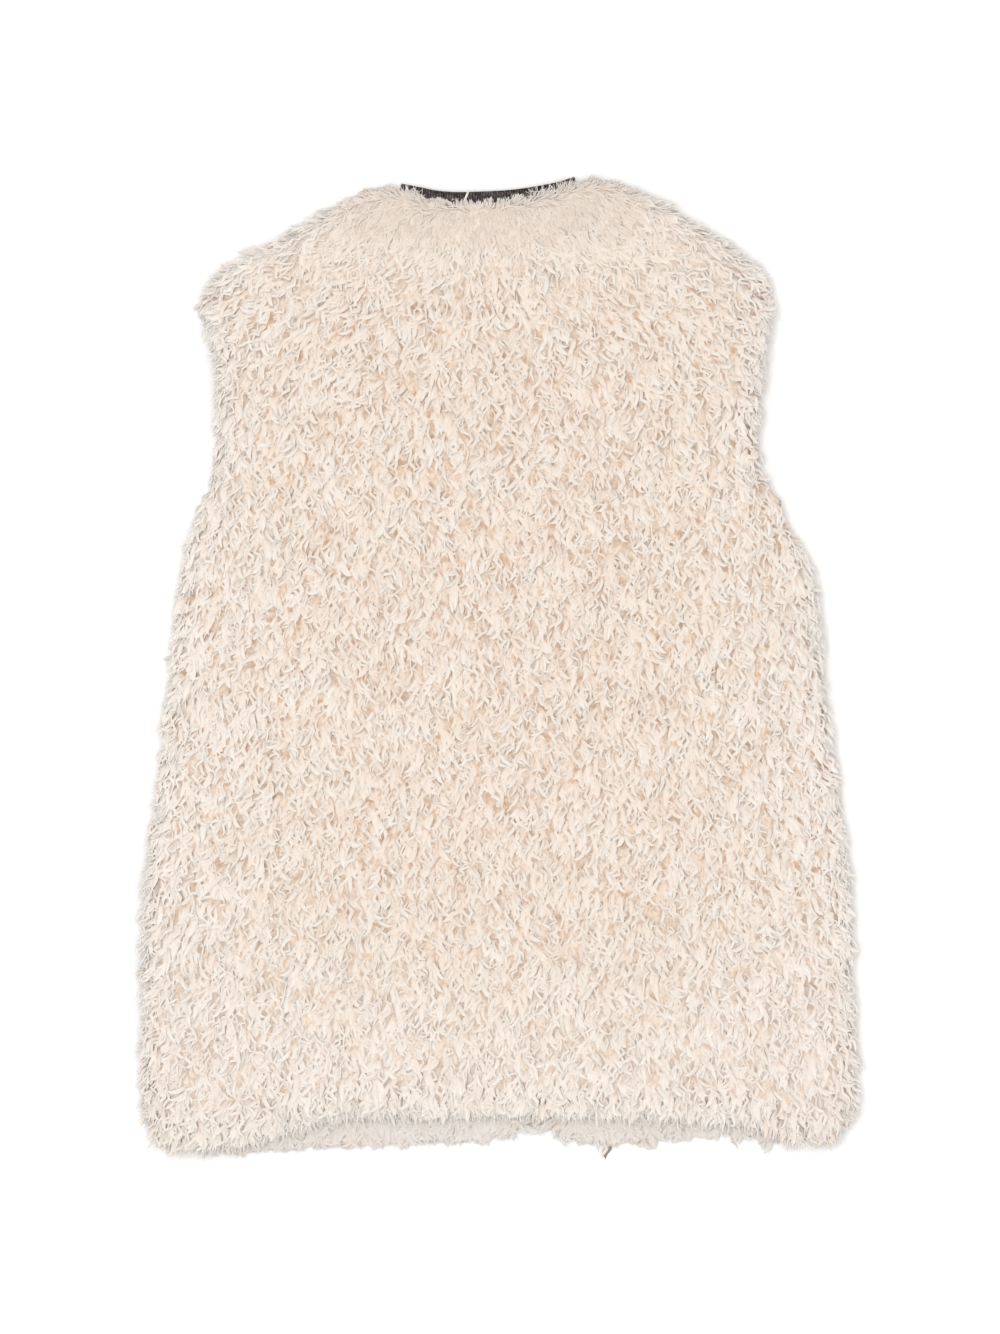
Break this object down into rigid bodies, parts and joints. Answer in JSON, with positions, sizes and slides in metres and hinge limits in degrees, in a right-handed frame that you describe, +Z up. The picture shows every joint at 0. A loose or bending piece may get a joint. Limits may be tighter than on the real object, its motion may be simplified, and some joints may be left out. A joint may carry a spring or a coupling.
{
  "type": "faux fur vest",
  "caption": "Curly faux fur vest laid flat, back up: a fur back over open fronts that show below its hem, with a dark ribbed tape inside the neck.",
  "frame": {"origin": "middle of the laid garment's box, on the surface that it lies on", "axes": "+Y towards the neck, +X to the right as the back is looked down on, +Z up from the surface"},
  "size_m": [0.5414, 0.7344, 0.042],
  "materials": {
    "fur": "cream curly faux fur, long matt pile with soft sheen on the curls",
    "front_fur": "the same cream curly faux fur, pressed flat under the garment",
    "tape": "dark brown ribbed woven tape, slightly glossy ribs"
  },
  "bodies": {
    "root": {"back": "fur", "left_front": "front_fur", "right_front": "front_fur", "neck_tape": "tape"}
  },
  "joints": []
}
